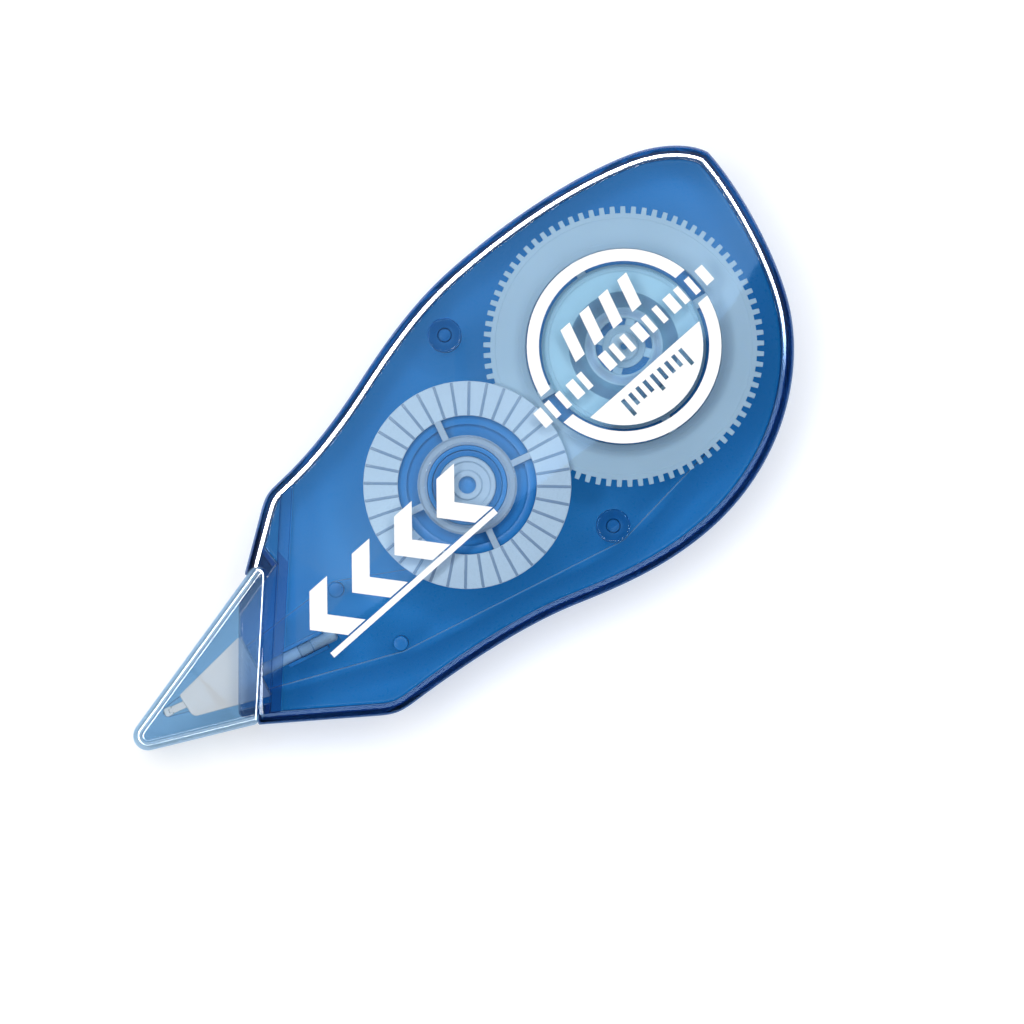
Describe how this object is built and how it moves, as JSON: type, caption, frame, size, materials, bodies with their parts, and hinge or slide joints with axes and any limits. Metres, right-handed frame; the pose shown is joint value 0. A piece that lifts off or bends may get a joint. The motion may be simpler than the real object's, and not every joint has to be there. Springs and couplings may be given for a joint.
{
  "type": "correction tape roller",
  "caption": "Flat teardrop correction tape roller with a clear blue case, two geared reels, a slip clutch, an applicator tip and a slide-off clear tip cap.",
  "frame": {"origin": "on the flat back face of the case, on the axis of the supply reel", "axes": "+X along the case to the butt end, the tip points to -X; +Z out of the clear front face; +Y across the case"},
  "size_m": [0.0945, 0.0423, 0.0137],
  "materials": {
    "blue_plastic": "moulded translucent blue plastic, polished",
    "clear_blue": "clear blue-tinted plastic, polished",
    "clear_cap": "clear pale blue plastic, polished",
    "ice_plastic": "pale ice-blue moulded plastic, satin",
    "milky_plastic": "milky translucent plastic, satin",
    "grey_plastic": "blue-grey moulded plastic",
    "tip_grey": "light grey moulded plastic, fine matt grain",
    "tip_soft": "soft light elastomer",
    "spring_plastic": "grey-blue springy plastic",
    "white_ink": "white pad-printed ink",
    "felt": "thin pressed felt",
    "tape_film": "white coated correction film on release paper",
    "ribbon_film": "pale release paper, faint fibre"
  },
  "bodies": {
    "case": {"rear_shell": "blue_plastic", "front_shell": "clear_blue", "supply_axle_plug": "ice_plastic", "take_up_axle_plug": "grey_plastic", "tape_web_out": "tape_film", "tape_web_return": "ribbon_film", "face_print": "white_ink"},
    "cap": {"cap": "clear_cap"},
    "tip": {"tip_head": "tip_grey", "tip_edge": "tip_soft", "tip_loop": "tape_film"},
    "supply_gear": {"supply_gear": "ice_plastic"},
    "supply_core": {"supply_drum": "blue_plastic", "tape_roll": "tape_film", "friction_ring": "felt", "clutch_spring": "spring_plastic", "hub_cap": "milky_plastic"},
    "take_up": {"take_up_drum": "blue_plastic", "take_up_flange": "ice_plastic", "take_up_roll": "ribbon_film"}
  },
  "joints": [
    {"name": "supply_spin", "type": "hinge", "parent": "case", "child": "supply_gear", "pos_m": [0, 0, 0.0092], "axis": [0, 0, 1], "continuous": true},
    {"name": "clutch_slip", "type": "hinge", "parent": "supply_gear", "child": "supply_core", "pos_m": [0, 0, 0.0092], "axis": [0, 0, 1], "continuous": true},
    {"name": "take_up_spin", "type": "hinge", "parent": "case", "child": "take_up", "pos_m": [-0.0241, 0, 0.0092], "axis": [0, 0, 1], "continuous": true},
    {"name": "cap_slide", "type": "slide", "parent": "case", "child": "cap", "axis": [-1, 0, 0], "range_m": [0, 0.03]},
    {"name": "tip_roll", "type": "hinge", "parent": "case", "child": "tip", "pos_m": [-0.0558, -0.00039, 0.0058], "axis": [-0.9649, 0.2627, 0], "range_deg": [-5, 5]}
  ],
  "couplings": [
    {"joint": "take_up_spin", "follows": "supply_spin", "ratio": -1.9286}
  ]
}
